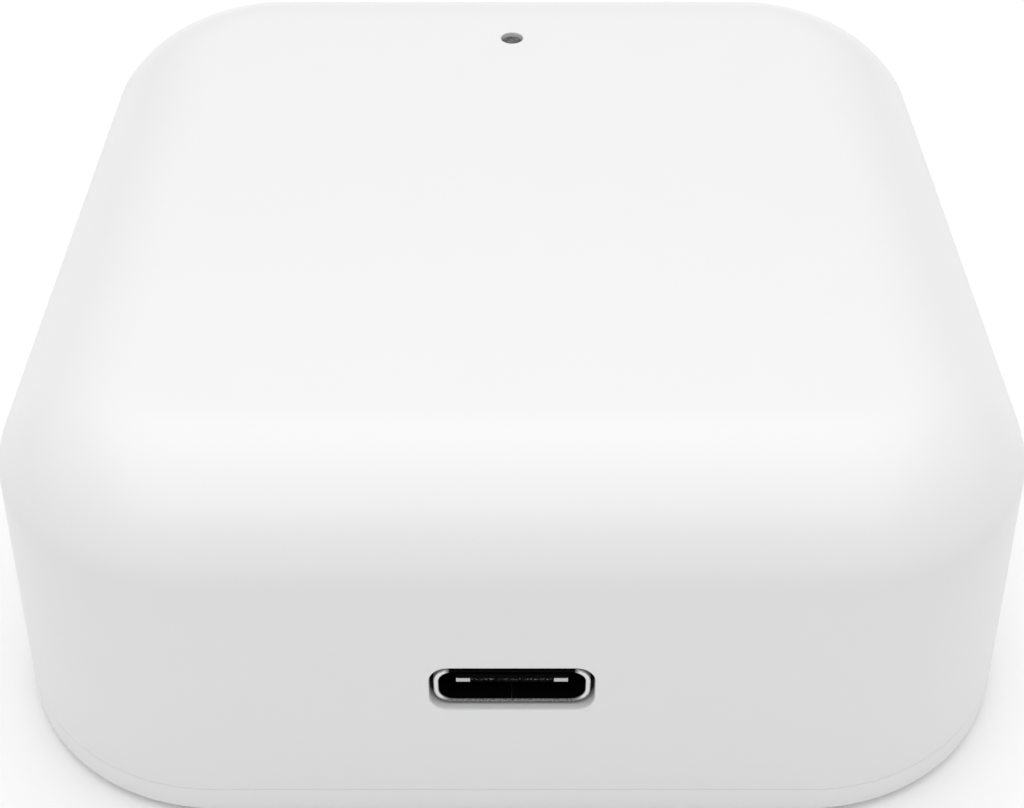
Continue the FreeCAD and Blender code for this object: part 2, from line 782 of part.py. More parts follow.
def main():
    """Write one STEP file for each piece."""
    os.makedirs("parts", exist_ok=True)
    for node, shape in gateway_pieces().items():
        shape.exportStep(os.path.join("parts", node + ".step"))
        print(node, len(shape.Solids), "solids", len(shape.Faces), "faces", round(shape.Volume, 2), "mm3",
              "valid" if shape.isValid() else "NOT VALID")


main()
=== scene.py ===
import math

import bmesh
import bpy
import numpy as np
from bpy.props import FloatProperty, FloatVectorProperty, PointerProperty
from bpy.types import Operator, Panel, PropertyGroup
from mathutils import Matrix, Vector


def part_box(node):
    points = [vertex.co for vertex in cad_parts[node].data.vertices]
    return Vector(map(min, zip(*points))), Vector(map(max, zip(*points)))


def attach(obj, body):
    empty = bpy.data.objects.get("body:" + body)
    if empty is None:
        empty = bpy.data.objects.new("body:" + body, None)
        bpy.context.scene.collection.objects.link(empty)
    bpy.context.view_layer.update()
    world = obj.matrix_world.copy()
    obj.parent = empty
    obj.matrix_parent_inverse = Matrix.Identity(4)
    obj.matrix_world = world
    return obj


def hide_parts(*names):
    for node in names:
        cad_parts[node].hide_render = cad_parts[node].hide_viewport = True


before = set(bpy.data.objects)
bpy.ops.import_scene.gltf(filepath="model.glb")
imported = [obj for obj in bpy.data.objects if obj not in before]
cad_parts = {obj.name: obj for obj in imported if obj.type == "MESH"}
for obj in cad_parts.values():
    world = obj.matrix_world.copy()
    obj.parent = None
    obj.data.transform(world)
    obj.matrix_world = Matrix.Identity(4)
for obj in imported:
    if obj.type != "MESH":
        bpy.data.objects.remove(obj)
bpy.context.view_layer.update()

bl_info = {
    "name": "Wireless gateway",
    "version": (1, 0, 0),
    "blender": (4, 5, 0),
    "location": "View3D > Sidebar > Gateway",
    "description": "Dresses a table-top wireless gateway and lights it on a white floor",
    "category": "Object",
}

MM = 0.001
BODY = "root"
HOUSING_LOW, HOUSING_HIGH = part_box("upper_housing")
COVER_LOW, COVER_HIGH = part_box("bottom_cover")
FEET_LOW, FEET_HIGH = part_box("rubber_feet")
SHELL_LOW, SHELL_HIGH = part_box("socket_shell")
BOARD_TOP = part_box("main_board")[1].z
TONGUE_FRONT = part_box("socket_lower_contacts")[0].y
PIPE_LOW, PIPE_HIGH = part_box("light_pipe")
COVER_SCREWS_LOW, COVER_SCREWS_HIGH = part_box("cover_screws")
BOARD_SCREWS_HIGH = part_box("board_screws")[1]
SHELL_WIDTH = SHELL_HIGH.x - SHELL_LOW.x
SHELL_HEIGHT = SHELL_HIGH.z - BOARD_TOP
PORT_LEVEL = SHELL_HEIGHT / 2 + BOARD_TOP
PIPE_PLACE = (0.0, (PIPE_LOW.y + PIPE_HIGH.y) / 2)
# Half width and half height of the field round the port that the wall's grid leaves out.
PORT_FIELD = (6.2 * MM, 3.0 * MM)
# Grid lines on each straight run of the housing, and levels at which a rib follows the wall.
RUN_LINES = 9
RIB_LEVELS = 49
# Share of a round's radius by which a chamfer's middle point lies inside the sharp corner.
CHAMFER = 0.3
# Share of a wall's thickness by which bosses, posts and ribs reach into it.
SUNK = 0.3
WHITE = (1.0, 1.0, 1.0)
BLACK = (0.0, 0.0, 0.0)
DEEP_SHADE = (0.002, 0.002, 0.002)


def length(name, description, millimetres):
    """A size that the sidebar shows as a distance."""
    return FloatProperty(name=name, description=description, default=millimetres * MM, min=0.0,
                         subtype="DISTANCE", unit="LENGTH", precision=5)


def tilt(name, description, degrees):
    """An angle that is given here in degrees."""
    return FloatProperty(name=name, description=description, default=math.radians(degrees),
                         subtype="ANGLE", unit="ROTATION")


def power(name, description, default):
    """A lamp's power in watts."""
    return FloatProperty(name=name, description=description, default=default, min=0.0,
                         subtype="POWER", unit="POWER")


def colour(name, description, default):
    """A linear colour that the sidebar shows as a swatch."""
    return FloatVectorProperty(name=name, description=description, default=default, size=3,
                               subtype="COLOR", min=0.0, max=1.0)


class GatewaySizes(PropertyGroup):
    """Sizes of the case, the socket and the feet."""

    width: length("Width", "Width of the case at its base", 64.2)
    depth: length("Depth", "Depth of the case at its base", 64.2)
    corner_radius: length("Corner radius", "Plan radius at the base", 14.2)
    draft: tilt("Draft", "Lean of the walls", 6.0)
    edge_run: length("Edge run", "Width of the soft roof edge", 7.8)
    edge_drop: length("Edge drop", "Height of the soft roof edge", 5.4)
    edge_split: tilt("Edge split", "Tilt at which the edge's tight arc gives way to its wide one", 54.0)
    wall: length("Wall", "Thickness of the walls", 2.0)
    roof: length("Roof", "Thickness of the roof", 2.0)
    seam_bevel: length("Seam bevel", "Small round on both sides of the seam", 0.1)
    base_round: length("Base round", "Round on the lowest edge of the cover", 0.4)
    floor: length("Floor", "Thickness of the cover's floor", 1.8)
    lip_thickness: length("Lip thickness", "Thickness of the cover's locating lip", 1.0)
    lip_clearance: length("Lip clearance", "Gap between the lip and the wall", 0.15)
    rib: length("Rib", "Thickness of the stiffening ribs", 1.0)
    floor_rib: length("Floor rib", "Height of the ribs on the floor", 1.2)
    boss_wall: length("Boss wall", "Wall of a screw boss round its screw", 1.5)
    thread_clearance: length("Thread clearance", "Gap between a screw and its pilot hole", 0.05)
    shank_clearance: length("Shank clearance", "Gap round a screw where it passes through", 0.2)
    pilot_spare: length("Pilot spare", "Depth of a pilot hole past its screw", 1.0)
    cover_post: length("Cover post", "Radius of the cover's screw posts", 3.4)
    screw_seat: length("Screw seat", "Thickness of the post under a screw head", 1.2)
    cover_shank: length("Cover shank", "Radius of the cover's screws", 1.1)
    board_shank: length("Board shank", "Radius of the board's screws", 0.9)
    screw_head: length("Screw head", "Radius of the cover screws' heads", 2.1)
    head_height: length("Head height", "Height of the cover screws' heads", 1.5)
    board_head: length("Board screw head", "Radius of the board screws' heads", 1.8)
    slot_side_gap: length("Slot side gap", "Gap beside the socket in its slot", 0.24)
    slot_top_gap: length("Slot top gap", "Gap above and below the socket in its slot", 0.13)
    slot_corner: length("Slot corner", "Corner radius of the slot", 1.1)
    slot_round: length("Slot round", "Round on the edge of the slot", 0.08)
    shell_corner: length("Shell corner", "Outer corner radius of the socket's shell", 1.2)
    sheet: length("Sheet", "Thickness of the socket's steel", 0.3)
    sheet_round: length("Sheet round", "Round on the mouth of the socket", 0.1)
    joint_gap: length("Joint gap", "Gap of the butt joint under the socket", 0.06)
    leg_width: length("Leg width", "Width of the socket's legs", 1.1)
    leg_inset: length("Leg inset", "Distance of a leg's middle from the shell's end", 0.9)
    hole_radius: length("Indicator hole", "Radius of the hole in the roof", 0.82)
    hole_round: length("Indicator hole round", "Round on the edge of that hole", 0.06)
    pipe_gap: length("Pipe gap", "Gap round the light pipe in its sleeve", 0.05)
    sleeve_wall: length("Sleeve wall", "Wall of the light pipe's sleeve", 1.1)
    sleeve_length: length("Sleeve length", "Length of the light pipe's sleeve", 5.0)
    foot_radius: length("Foot radius", "Radius of a rubber foot", 4.0)
    foot_clearance: length("Foot clearance", "Gap round a foot in its pocket", 0.15)
    foot_round: length("Foot round", "Round on a foot's lower edge", 0.25)


class GatewayColours(PropertyGroup):
    """Colours of the gateway's finishes."""

    case: colour("Case", "White plastic of the housing and the cover", (0.87, 0.87, 0.87))
    foot: colour("Feet", "Soft grey rubber", (0.19, 0.19, 0.2))
    steel: colour("Steel", "Nickel-plated sheet and zinc-plated screws", (0.72, 0.72, 0.72))
    # The socket's moulding colour is set darker than black plastic is: partly its own black, partly painted
    # shade down in the socket.
    black_plastic_and_shade: colour("Dark plastic", "Black moulding in the socket", (0.002, 0.002, 0.002))
    contact: colour("Contacts", "Gold plating", (0.80, 0.62, 0.30))
    pipe: colour("Light pipe", "Smoke-tinted light pipe", (0.09, 0.09, 0.09))
    mask: colour("Board", "Solder mask of the main board", (0.012, 0.11, 0.045))
    module: colour("Module boards", "Solder mask of the module boards", (0.012, 0.016, 0.022))
    tin: colour("Shield cans", "Tinned sheet", (0.66, 0.67, 0.68))
    chip: colour("Chips", "Moulding compound", (0.018, 0.018, 0.02))


class GatewayStudio(PropertyGroup):
    """Camera and lamps."""

    camera_back: length("Camera distance", "How far the camera stands in front of the middle", 81.07)
    camera_height: length("Camera height", "Height of the camera over the table", 81.24)
    camera_pitch: tilt("Camera pitch", "Downward tilt of the camera", 43.45)
    lens: FloatProperty(name="Lens", description="Focal length for a 36 mm sensor", default=52.33,
                        subtype="DISTANCE_CAMERA", unit="CAMERA")
    sky: FloatProperty(name="Sky", description="Level of the light from all round", default=0.475)
    wide_power: power("Wide box", "Power of the broad soft box overhead", 3.08)
    wide_size: length("Wide box size", "Side of the broad soft box", 900.0)
    wide_height: length("Wide box height", "Height of the broad soft box", 600.0)
    rear_power: power("Rear box", "Power of the small soft box behind the middle", 0.12)
    rear_size: length("Rear box size", "Side of the small soft box", 300.0)
    rear_height: length("Rear box height", "Height of the small soft box", 350.0)
    rear_reach: length("Rear box reach", "Distance of the small soft box from the middle", 150.0)
    floor_tone: FloatProperty(name="Floor", description="Tone of the floor as the object sees it",
                              default=0.95, min=0.0, max=1.0)


def sizes():
    return bpy.context.scene.gateway_sizes


def tint(name, factor=1.0):
    """A colour of the sidebar, darker or lighter by a factor."""
    return shade(getattr(bpy.context.scene.gateway_colours, name), factor)


def shade(tone, factor):
    """A colour times a factor, held in range."""
    return tuple(min(1.0, channel * factor) for channel in tone)


def link(name, data):
    """Put a new object with the given data in the scene."""
    thing = bpy.data.objects.new(name, data)
    bpy.context.scene.collection.objects.link(thing)
    return thing


class Patchwork:
    """Collects grids and rings of points, then welds them into one closed mesh."""

    def __init__(self):
        self.points = []
        self.faces = []
        self.count = 0

    def add(self, points):
        """Store points of any array shape and return their numbers in the same shape."""
        points = np.asarray(points, float)
        flat = points.reshape(-1, 3)
        numbers = np.arange(self.count, self.count + len(flat)).reshape(points.shape[:-1])
        self.points.append(flat)
        self.count += len(flat)
        return numbers

    def quads(self, numbers, closed=False, keep=None):
        """Join neighbouring rows and columns of a grid with four-sided faces."""
        right = np.roll(numbers, -1, axis=1) if closed else numbers[:, 1:]
        left = numbers if closed else numbers[:, :-1]
        faces = np.stack([left[:-1], right[:-1], right[1:], left[1:]], axis=-1)
        faces = faces[keep] if keep is not None else faces.reshape(-1, 4)
        self.faces += faces.tolist()

    def ring_wall(self, *loops):
        """Join loops of equal length, one after the other, into a closed band."""
        self.quads(np.stack(loops), closed=True)

    def polygon(self, numbers):
        """One flat face through the given points."""
        self.faces.append(list(numbers))

    def window(self, grid, rows, columns, contour):
        """Fill a rectangle left out of a grid up to a contour, with one flat face on each side of
        the middle row. The rows go from the lowest level to the highest. The contour starts opposite
        the last column and passes over the high rows."""
        if rows[0] > rows[-1]:
            grid, rows = grid[::-1], [len(grid) - 1 - row for row in rows]
        low, middle, high = rows
        first, last = columns
        upper = list(grid[middle:high, last]) + list(grid[high, first:last + 1][::-1])
        upper += list(grid[middle:high, first][::-1])
        lower = list(grid[low + 1:middle + 1, first][::-1]) + list(grid[low, first:last + 1])
        lower += list(grid[low + 1:middle + 1, last])
        half = len(contour) // 2
        self.polygon(upper + list(contour[:half + 1][::-1]))
        self.polygon(lower + [contour[0]] + list(contour[half:][::-1]))

    def mesh(self, name):
        """Weld doubles, turn the faces outwards and return the mesh."""
        made = bpy.data.meshes.new(name)
        made.from_pydata(np.concatenate(self.points), [], self.faces)
        work = bmesh.new()
        work.from_mesh(made)
        bmesh.ops.remove_doubles(work, verts=work.verts, dist=1e-7)
        bmesh.ops.dissolve_degenerate(work, edges=work.edges, dist=1e-8)
        bmesh.ops.recalc_face_normals(work, faces=work.faces)
        work.to_mesh(made)
        work.free()
        return made


def combine(mesh, tool, operation):
    """Exact union or difference of a closed mesh and a patchwork of closed solids, as a new mesh."""
    target = link("target", mesh)
    cutter = link("cutter", tool.mesh("cutter"))
    step = target.modifiers.new("combine", "BOOLEAN")
    step.operation = operation
    step.solver = "EXACT"
    step.object = cutter
    graph = bpy.context.evaluated_depsgraph_get()
    made = bpy.data.meshes.new_from_object(target.evaluated_get(graph))
    bpy.data.objects.remove(target)
    bpy.data.objects.remove(cutter)
    if not made.polygons:
        raise RuntimeError("a union or difference came out empty")
    return made


def joined(mesh, *tools):
    """Union of a mesh with one patchwork after the other."""
    for tool in tools:
        mesh = combine(mesh, tool, "UNION")
    return mesh


def show(name, mesh, material, replaced, crease=30.0):
    """Put a finished mesh in the scene as a piece that stands for a CAD node."""
    mesh.materials.clear()
    mesh.materials.append(material)
    mesh.shade_smooth()
    mesh.set_sharp_from_angle(angle=math.radians(crease))
    piece = link(name, mesh)
    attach(piece, BODY)
    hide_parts(*replaced)


def lathe(profile, places, steps=48):
    """Closed solids of revolution: the profile's (radius, z) rows turned about upright axes."""
    work = Patchwork()
    turn = np.linspace(0, 2 * math.pi, steps, endpoint=False)
    profile = np.asarray(profile, float)
    for x, y in places:
        ring = np.stack([
            x + profile[:, 0, None] * np.cos(turn),
            y + profile[:, 0, None] * np.sin(turn),
            np.broadcast_to(profile[:, 1, None], (len(profile), steps)),
        ], axis=-1)
        work.quads(work.add(ring), closed=True)
    return work


def prisms(outlines):
    """Closed plates: each outline is a loop of points and the thickness vector it is moved by."""
    work = Patchwork()
    for loop, shift in outlines:
        loop = np.asarray(loop, float)
        near = work.add(loop)
        far = work.add(loop + np.asarray(shift, float))
        work.ring_wall(near, far)
        work.polygon(near)
        work.polygon(far)
    return work


def arc(centre, radius, start, end, steps):
    """Rows of an arc in a flat plane, from one angle in degrees to another."""
    angle = np.radians(np.linspace(start, end, steps + 1))
    return np.stack([centre[0] + radius * np.cos(angle), centre[1] + radius * np.sin(angle)], axis=-1)


def slope():
    """How far the walls lean in per unit of height."""
    return math.tan(sizes().draft)


def corner_centre():
    """Centre of the plan's rear right corner round, which the walls' taper leaves in place."""
    s = sizes()
    return s.width / 2 - s.corner_radius, s.depth / 2 - s.corner_radius


def reach(inset, z):
    """Distance from a corner centre to the wall face that lies inset inside the outer face."""
    return sizes().corner_radius - inset - (z - COVER_LOW.z) * slope()


def soft_edge(start, end, steps=14):
    """Rows of a tight arc that leaves the leaning wall and a wide one that meets the level roof, both
    tangent. Their radii solve start + lower arc + upper arc = end."""
    lean = math.pi / 2 + sizes().draft
    split = math.pi - sizes().edge_split

    def step(turn_from, turn_to):
        return np.array([np.sin(turn_to) - np.sin(turn_from), np.cos(turn_from) - np.cos(turn_to)])

    start, end = np.asarray(start), np.asarray(end)
    radii = np.linalg.solve(np.stack([step(lean, split), step(split, math.pi)], axis=1), end - start)
    lower_turn = np.linspace(lean, split, steps + 1)
    upper_turn = np.linspace(split, math.pi, steps + 1)
    lower = start + radii[0] * step(lean, lower_turn).T
    upper = lower[-1] + radii[1] * step(split, upper_turn).T
    return np.concatenate([lower, upper[1:]])


def flat_rows(reaches, z):
    """Profile rows (reach, z) across a level face."""
    reaches = np.asarray(reaches, float)
    return np.stack([reaches, np.full(len(reaches), z)], axis=-1)


class PlanLoop:
    """The loop that a profile is carried along: straight runs between corner centres, then a turn
    about each centre. A point of the loop is base + reach * normal."""

    def __init__(self, across, along, corner_steps=26):
        half_x, half_y = corner_centre()
        turn = np.radians(np.linspace(0, 90, corner_steps + 1)[1:-1])
        runs = [
            (np.stack([across, np.full(len(across), -half_y)], -1), (0, -1), (half_x, -half_y), -90),
            (np.stack([np.full(len(along), half_x), along], -1), (1, 0), (half_x, half_y), 0),
            (np.stack([across[::-1], np.full(len(across), half_y)], -1), (0, 1), (-half_x, half_y), 90),
            (np.stack([np.full(len(along), -half_x), along[::-1]], -1), (-1, 0), (-half_x, -half_y), 180),
        ]
        base, normal = [], []
        for run, outward, centre, angle in runs:
            base += [run, np.broadcast_to(centre, (len(turn), 2))]
            heading = turn + math.radians(angle)
            normal += [np.broadcast_to(outward, run.shape), np.stack([np.cos(heading), np.sin(heading)], -1)]
        self.across, self.along = across, along
        self.base = np.concatenate(base)
        self.normal = np.concatenate(normal)

    def carry(self, profile):
        """Grid of points: profile rows by loop columns."""
        flat = self.base + profile[:, 0, None, None] * self.normal
        level = np.broadcast_to(profile[:, 1, None, None], flat.shape[:2] + (1,))
        return np.concatenate([flat, level], axis=-1)

    def core(self, z):
        """Grid that fills the rectangle between the corner centres at one level."""
        x, y = np.meshgrid(self.across, self.along)
        return np.stack([x, y, np.full(x.shape, z)], axis=-1)


def supported(low, high, *inner):
    """Samples from low to high through the inner ones, with a close pair at each end."""
    margin = 0.15 * MM
    return np.array(sorted({low, low + margin, high - margin, high, *inner}))


def screw_places(high, head):
    """Centres of four screws, from the high corner of the box that their heads fill."""
    x, y = high.x - head, high.y - head
    return [(side_x * x, side_y * y) for side_y in (-1, 1) for side_x in (-1, 1)]


def cover_screw_places():
    return screw_places(COVER_SCREWS_HIGH, sizes().screw_head)


def board_screw_places():
    return screw_places(BOARD_SCREWS_HIGH, sizes().board_head)


def corner_arcs(width, height, corner, first, steps=12):
    """Points and outward headings round a rounded rectangle, one corner after the other, from the
    corner whose arc starts at an angle in degrees."""
    points, outward = [], []
    for angle in range(first, first + 360, 90):
        middle = math.radians(angle + 45)
        side = np.sign([math.cos(middle), math.sin(middle)])
        heading = np.radians(np.linspace(angle, angle + 90, steps + 1))
        normal = np.stack([np.cos(heading), np.sin(heading)], axis=-1)
        points.append(side * [width / 2 - corner, height / 2 - corner] + corner * normal)
        outward.append(normal)
    return np.concatenate(points), np.concatenate(outward)


def slot_contour(grow, inset, sink=0.0):
    """Loop of the port's slot on the leaning front wall. Grow widens it, inset picks the outer or
    the inner face and sink moves it into the wall."""
    s = sizes()
    width = SHELL_WIDTH + 2 * (s.slot_side_gap + grow)
    height = SHELL_HEIGHT + 2 * (s.slot_top_gap + grow)
    arcs = corner_arcs(width, height, s.slot_corner + grow, 0)[0]
    upper, lower = np.split(arcs, 2)
    flat = np.concatenate([[[width / 2, 0]], upper, [[-width / 2, 0]], lower])
    z = flat[:, 1] + PORT_LEVEL
    y = -(corner_centre()[1] + reach(inset, z)) + sink
    return np.stack([flat[:, 0], y, z], axis=-1)


def skin_edge(share):
    """Rows of the housing's soft roof edge: on its outer face at share 0, on its inner face at share 1
    and inside its wall at the shares between."""
    s = sizes()
    inset, high = share * s.wall, HOUSING_HIGH.z - share * s.roof
    low = high - (s.edge_drop - share * s.roof)
    return soft_edge([reach(inset, low), low], [reach(inset, high) - (s.edge_run - inset), high])


def housing_profile(port_levels):
    """Rows of the housing's section, from the middle of its roof, down the outer wall, round the
    rim at the seam and up inside to the middle of the ceiling."""
    s = sizes()
    seam, bevel = HOUSING_LOW.z, s.seam_bevel

    def skin(share, low):
        edge = skin_edge(share)
        levels = supported(low, edge[0, 1], *port_levels)[:-1]
        wall = np.stack([reach(share * s.wall, levels), levels], axis=-1)
        flat = flat_rows(supported(0.0, edge[-1, 0])[::-1][1:], HOUSING_HIGH.z - share * s.roof)
        return np.concatenate([wall, edge, flat])

    rim = [[reach(0.0, seam) - bevel * CHAMFER, seam + bevel * CHAMFER], [reach(0.0, seam) - bevel, seam]]
    return np.concatenate([skin(0, seam + bevel)[::-1], rim, skin(1, seam)])


def housing_shell():
    """Closed shell of the housing, with the port slot open."""
    s = sizes()
    half_x, half_y = corner_centre()
    field_x, field_z = PORT_FIELD
    port_levels = [PORT_LEVEL + step * field_z for step in (-1, 0, 1)]
    profile = housing_profile(port_levels)
    across = supported(-half_x, half_x, -field_x, field_x, *np.linspace(-half_x, half_x, RUN_LINES)[1:-1])
    along = supported(-half_y, half_y, *np.linspace(-half_y, half_y, RUN_LINES)[1:-1])
    plan = PlanLoop(across, along)
    work = Patchwork()
    grid = work.add(plan.carry(profile))
    keep = np.ones((grid.shape[0] - 1, grid.shape[1]), bool)
    columns = [int(np.searchsorted(across, edge - 1e-9)) for edge in (-field_x, field_x)]
    gaps = [[profile - (reach(inset, z), z) for z in port_levels] for inset in (0.0, s.wall)]
    fronts = np.argmin(np.linalg.norm(gaps, axis=-1), axis=-1).tolist()
    for rows in fronts:
        keep[min(rows):max(rows), columns[0]:columns[1]] = False
    work.quads(grid, closed=True, keep=keep)
    for level in (HOUSING_HIGH.z, HOUSING_HIGH.z - s.roof):
        work.quads(work.add(plan.core(level)))
    edge = s.slot_round
    slots = [slot_contour(edge, 0.0), slot_contour(edge * CHAMFER, 0.0, edge * CHAMFER),
             slot_contour(0.0, 0.0, edge), slot_contour(0.0, s.wall)]
    slots = [work.add(slot) for slot in slots]
    work.ring_wall(*slots)
    for rows, slot in zip(fronts, (slots[0], slots[-1])):
        work.window(grid, rows, columns, slot)
    return work.mesh("housing_shell")


def boss_profile(low, high, shank, depth):
    """Half section of a boss with a blind pilot hole from below for a screw's shank."""
    boss, hole = shank + sizes().boss_wall, shank + sizes().thread_clearance
    return [(0, low + depth), (hole, low + depth), (hole, low), (boss, low), (boss, high), (0, high)]


def rib_outline(x, y, low, high):
    """Plate from a boss's wall out into the side wall: its outer edge runs halfway through the wall,
    and it ends at the level where that edge comes back to the boss."""
    s = sizes()
    centre_x, centre_y = corner_centre()
    past = max(abs(y) + s.rib / 2 - centre_y, 0.0)
    start = abs(x) + s.cover_shank + s.boss_wall / 2
    overlap = 0.1 * MM
    levels = np.linspace(low, high, RIB_LEVELS)
    edge = skin_edge(0.5)
    rounded = np.interp(levels, edge[:, 1], edge[:, 0])
    wall_middle = np.where(levels <= edge[0, 1], reach(s.wall / 2, levels), rounded)
    edge = centre_x + np.sqrt(np.maximum(wall_middle ** 2 - past ** 2, 0.0))
    below = edge > start + overlap
    edge, levels = edge[below], levels[below]
    outer = np.stack([edge, np.full(len(levels), y - s.rib / 2), levels], axis=-1)
    inner = np.array([[start, y - s.rib / 2, levels[-1]], [start, y - s.rib / 2, levels[0]]])
    return np.concatenate([outer, inner]) * (math.copysign(1.0, x), 1, 1), (0, s.rib, 0)


def build_housing_mesh():
    """The shell joined with its screw bosses, ribs and the light pipe's sleeve, less the indicator
    hole, whose upper edge is rounded."""
    s = sizes()
    ceiling = HOUSING_HIGH.z - s.roof
    sunk = ceiling + SUNK * s.roof
    cover_low = COVER_SCREWS_LOW.z + s.head_height + s.screw_seat
    cover_depth = COVER_SCREWS_HIGH.z - cover_low + s.pilot_spare
    board_depth = BOARD_SCREWS_HIGH.z - BOARD_TOP + s.pilot_spare
    cover_boss = boss_profile(cover_low, sunk, s.cover_shank, cover_depth)
    board_boss = boss_profile(BOARD_TOP, sunk, s.board_shank, board_depth)
    bore = (PIPE_HIGH.x - PIPE_LOW.x) / 2 + s.pipe_gap
    sleeve_low = ceiling - s.sleeve_length
    sleeve = [(bore, sunk), (bore, sleeve_low), (bore + s.sleeve_wall, sleeve_low),
              (bore + s.sleeve_wall, sunk), (bore, sunk)]
    ribs = [rib_outline(x, y, cover_low + s.rib, sunk) for x, y in cover_screw_places()]
    ribs += [rib_outline(x, y, BOARD_TOP + s.rib, sunk) for x, y in board_screw_places()]
    mesh = joined(housing_shell(), lathe(cover_boss, cover_screw_places()),
                  lathe(board_boss, board_screw_places()), lathe(sleeve, [PIPE_PLACE]), prisms(ribs))
    top, edge, radius = HOUSING_HIGH.z, s.hole_round, s.hole_radius
    hole = [(0, ceiling - MM), (radius, ceiling - MM), (radius, top - edge),
            (radius + CHAMFER * edge, top - CHAMFER * edge), (radius + edge, top),
            (radius + edge, top + MM), (0, top + MM)]
    return combine(mesh, lathe(hole, [PIPE_PLACE], steps=64), "DIFFERENCE")


class GATEWAY_OT_housing(Operator):
    """Moulded upper housing: drafted walls, soft roof edge, port slot, indicator hole and bosses"""

    bl_idname = "gateway.housing"
    bl_label = "Upper housing"

    def execute(self, context):
        show("housing_skin", build_housing_mesh(), case_plastic(), ["upper_housing"], 20.0)
        return {"FINISHED"}


def cover_profile():
    """Rows of the cover's section, from the middle of its underside, up the outer wall to the seam,
    over the locating lip and down to the middle of its floor."""
    s = sizes()
    base, seam, lip_top = COVER_LOW.z, HOUSING_LOW.z, COVER_HIGH.z
    floor = base + s.floor
    edge = s.base_round
    lip_outer = s.wall + s.lip_clearance
    lip_inner = lip_outer + s.lip_thickness
    under_ring, floor_ring = 6 * MM, 3 * MM
    under = flat_rows(supported(0.0, reach(0, base) - edge, under_ring), base)
    corner = arc((reach(0, base + edge) - edge, base + edge), edge, -90, 0, 6)[1:]
    bevel = s.seam_bevel
    nose = 0.2 * MM
    rim_and_lip = [
        [reach(0.0, seam - bevel), seam - bevel],
        [reach(0.0, seam) - bevel * CHAMFER, seam - bevel * CHAMFER],
        [reach(0.0, seam) - bevel, seam],
        [reach(lip_outer, seam), seam],
        [reach(lip_outer, lip_top - nose), lip_top - nose],
        [reach(lip_outer, lip_top) - nose, lip_top],
        [reach(lip_inner, lip_top), lip_top],
        [reach(lip_inner, floor), floor],
    ]
    return np.concatenate([under, corner, rim_and_lip, flat_rows([floor_ring, 0.0], floor)])


def build_cover_mesh():
    """The cover joined with its posts and floor ribs, less the foot pockets and screw holes."""
    s = sizes()
    half_x, half_y = corner_centre()
    plan = PlanLoop(supported(-half_x, half_x, 0.0), supported(-half_y, half_y, 0.0))
    work = Patchwork()
    work.quads(work.add(plan.carry(cover_profile())), closed=True)
    floor = COVER_LOW.z + s.floor
    for level in (COVER_LOW.z, floor):
        work.quads(work.add(plan.core(level)))
    sunk, rib_top = floor - SUNK * s.floor, floor + s.floor_rib
    seat = COVER_SCREWS_LOW.z + s.head_height
    post_top = seat + s.screw_seat
    places = cover_screw_places()
    posts = [(0, sunk), (s.cover_post, sunk), (s.cover_post, post_top), (0, post_top)]
    x, y = places[-1]

    def rib(start, end, thickness):
        """Upright plate between two places, thickened along a vector."""
        return [(*start, sunk), (*end, sunk), (*end, rib_top), (*start, rib_top)], thickness

    rows = [side * y - s.rib / 2 for side in (-1, 1)]
    columns = [side * x - s.rib / 2 for side in (-1, 1)]
    mesh = joined(work.mesh("cover_shell"), lathe(posts, places),
                  prisms([rib((-x, row), (x, row), (0, s.rib, 0)) for row in rows]),
                  prisms([rib((column, -y), (column, y), (s.rib, 0, 0)) for column in columns]))
    pocket_radius = s.foot_radius + s.foot_clearance
    head_radius = s.screw_head + s.shank_clearance
    shank_radius = s.cover_shank + s.shank_clearance
    below, above = COVER_LOW.z - s.floor, post_top + s.floor
    holes = [(0, below), (pocket_radius, below), (pocket_radius, FEET_HIGH.z), (head_radius, FEET_HIGH.z),
             (head_radius, seat), (shank_radius, seat), (shank_radius, above), (0, above)]
    return combine(mesh, lathe(holes, places, steps=64), "DIFFERENCE")


class GATEWAY_OT_cover(Operator):
    """Bottom cover: the rim below the seam, the locating lip, posts, floor ribs and foot pockets"""

    bl_idname = "gateway.cover"
    bl_label = "Bottom cover"

    def execute(self, context):
        show("cover_skin", build_cover_mesh(), case_plastic(), ["bottom_cover"])
        return {"FINISHED"}


class GATEWAY_OT_feet(Operator):
    """Rubber feet: discs with a rounded lower edge and a shallow dish"""

    bl_idname = "gateway.feet"
    bl_label = "Rubber feet"

    def execute(self, context):
        s = sizes()
        low, high, edge = FEET_LOW.z, FEET_HIGH.z, s.foot_round
        dish, dish_floor, dish_edge = 0.08 * MM, s.foot_radius * 0.55, s.foot_radius * 0.7
        lower = arc((s.foot_radius - edge, low + edge), edge, -90, 0, 8)
        profile = [(0, low + dish), (dish_floor, low + dish), (dish_edge, low)]
        profile += lower.tolist() + [(s.foot_radius, high), (0, high)]
        mesh = lathe(profile, cover_screw_places(), steps=72).mesh("feet")
        show("foot_pads", mesh, foot_rubber(), ["rubber_feet"])
        return {"FINISHED"}


def sheet_section():
    """Loop of (offset inwards, y) round the sheet: outside, rounded mouth, inside, rounded rear."""
    s = sizes()
    edge = s.sheet_round
    corners = [(edge, SHELL_LOW.y + edge, 180), (s.sheet - edge, SHELL_LOW.y + edge, 270),
               (s.sheet - edge, SHELL_HIGH.y - edge, 0), (edge, SHELL_HIGH.y - edge, 90)]
    return np.concatenate([arc((offset, y), edge, start, start + 90, 5) for offset, y, start in corners])


